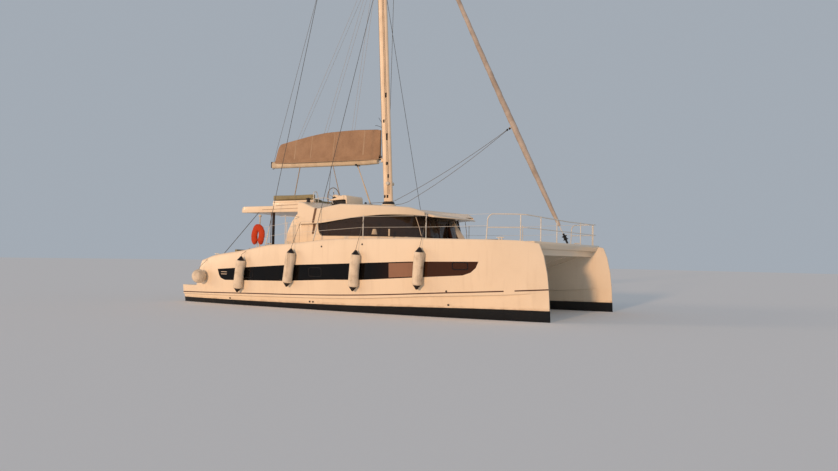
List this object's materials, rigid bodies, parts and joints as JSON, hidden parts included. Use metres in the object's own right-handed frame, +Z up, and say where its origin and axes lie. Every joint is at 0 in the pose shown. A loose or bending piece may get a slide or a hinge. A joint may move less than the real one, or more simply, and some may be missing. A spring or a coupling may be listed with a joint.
{
  "type": "sailing catamaran",
  "caption": "Cruising sailing catamaran, afloat, with two decked hulls, a glazed saloon under a long roof, a flybridge helm, a furled headsail and a stowed mainsail.",
  "frame": {"origin": "on the centreline at the waterline, amidships, halfway between bow and stern", "axes": "+X towards the bow, +Y to port, +Z up"},
  "size_m": [12.8, 7.3928, 19.42],
  "materials": {
    "gelcoat": "warm white gelcoat, glossy, slightly weathered",
    "antifoul": "matt black bottom paint",
    "glazing": "dark tinted flush glazing",
    "spar": "satin painted aluminium, light beige",
    "canvas": "taupe brown sail canvas, coarse weave",
    "cushion": "olive tan cushion cloth",
    "steel": "polished stainless steel",
    "bronze": "dull bronze",
    "wood": "oiled teak",
    "fender": "soft white vinyl with dark ends",
    "buoy": "orange red coated cloth",
    "engine": "grey engine enamel"
  },
  "bodies": {
    "root": {"aft_bulkhead": "gelcoat", "aft_glass_port": "glazing", "aft_glass_starboard": "glazing", "ball_fender": "fender", "bow_rail": "steel", "bridge_deck": "gelcoat", "cap_shroud_port": "steel", "cap_shroud_starboard": "steel", "coachroof": "gelcoat", "cockpit_bench": "cushion", "cockpit_table": "wood", "deckhouse_front": "gelcoat", "deckhouse_side_port": "gelcoat", "deckhouse_side_starboard": "gelcoat", "engine_port": "engine", "engine_starboard": "engine", "fender_1": "fender", "fender_2": "fender", "fender_3": "fender", "fender_4": "fender", "flybridge_bench": "gelcoat", "flybridge_cushion": "cushion", "front_glass_port": "glazing", "front_glass_starboard": "glazing", "furled_headsail": "canvas", "furler_drum": "steel", "galley_counter": "wood", "hardtop": "gelcoat", "helm_console": "gelcoat", "hull_port": "gelcoat", "hull_starboard": "gelcoat", "hull_window_port": "glazing", "hull_window_starboard": "glazing", "keel_port": "antifoul", "keel_starboard": "antifoul", "lifebuoy": "buoy", "lower_shroud_port": "steel", "lower_shroud_starboard": "steel", "mast": "spar", "roof_fin_port": "gelcoat", "roof_fin_starboard": "gelcoat", "saildrive_port": "antifoul", "saildrive_starboard": "antifoul", "saloon_sofa": "cushion", "saloon_table": "wood", "side_glass_port": "glazing", "side_glass_starboard": "glazing", "side_rail_port": "steel", "side_rail_starboard": "steel"},
    "boom_body": {"boom": "spar", "sail_bag": "canvas"},
    "wheel_body": {"steering_wheel": "steel"},
    "aft_door_body": {"aft_door": "glazing"},
    "front_door_body": {"front_door": "glazing"},
    "rudder_body_starboard": {"rudder_starboard": "antifoul"},
    "propeller_body_starboard": {"propeller_starboard": "bronze"},
    "hatch_body_starboard": {"engine_hatch_starboard": "gelcoat"},
    "rudder_body_port": {"rudder_port": "antifoul"},
    "propeller_body_port": {"propeller_port": "bronze"},
    "hatch_body_port": {"engine_hatch_port": "gelcoat"}
  },
  "joints": [
    {"name": "boom_swing", "type": "hinge", "parent": "root", "child": "boom_body", "pos_m": [-0.6838, 0, 4.85], "axis": [-0.0587, 0, 0.9983], "range_deg": [-50, 50]},
    {"name": "helm_turn", "type": "hinge", "parent": "root", "child": "wheel_body", "pos_m": [-1.69, -1.3, 3.52], "axis": [1, 0, 0], "range_deg": [-350, 350]},
    {"name": "rudder_turn_starboard", "type": "hinge", "parent": "root", "child": "rudder_body_starboard", "pos_m": [-5.75, -2.72, 0], "axis": [0, 0, 1], "range_deg": [-35, 35]},
    {"name": "rudder_turn_port", "type": "hinge", "parent": "root", "child": "rudder_body_port", "pos_m": [-5.75, 2.72, 0], "axis": [0, 0, 1], "range_deg": [-35, 35]},
    {"name": "propeller_spin_starboard", "type": "hinge", "parent": "root", "child": "propeller_body_starboard", "pos_m": [-4.7, -2.72, -0.74], "axis": [1, 0, 0], "continuous": true},
    {"name": "propeller_spin_port", "type": "hinge", "parent": "root", "child": "propeller_body_port", "pos_m": [-4.7, 2.72, -0.74], "axis": [1, 0, 0], "continuous": true},
    {"name": "aft_door_slide", "type": "slide", "parent": "root", "child": "aft_door_body", "axis": [0, 1, 0], "range_m": [0, 0.72]},
    {"name": "front_door_swing", "type": "hinge", "parent": "root", "child": "front_door_body", "pos_m": [1.7, -0.318, 2.2], "axis": [0, 0, -1], "range_deg": [0, 90]},
    {"name": "engine_hatch_lift_starboard", "type": "hinge", "parent": "root", "child": "hatch_body_starboard", "pos_m": [-4.08, -2.7, 1], "axis": [0, 1, 0], "range_deg": [0, 80]},
    {"name": "engine_hatch_lift_port", "type": "hinge", "parent": "root", "child": "hatch_body_port", "pos_m": [-4.08, 2.7, 1], "axis": [0, 1, 0], "range_deg": [0, 80]}
  ],
  "couplings": [
    {"joint": "rudder_turn_starboard", "follows": "helm_turn", "ratio": 0.1},
    {"joint": "rudder_turn_port", "follows": "helm_turn", "ratio": 0.1}
  ]
}
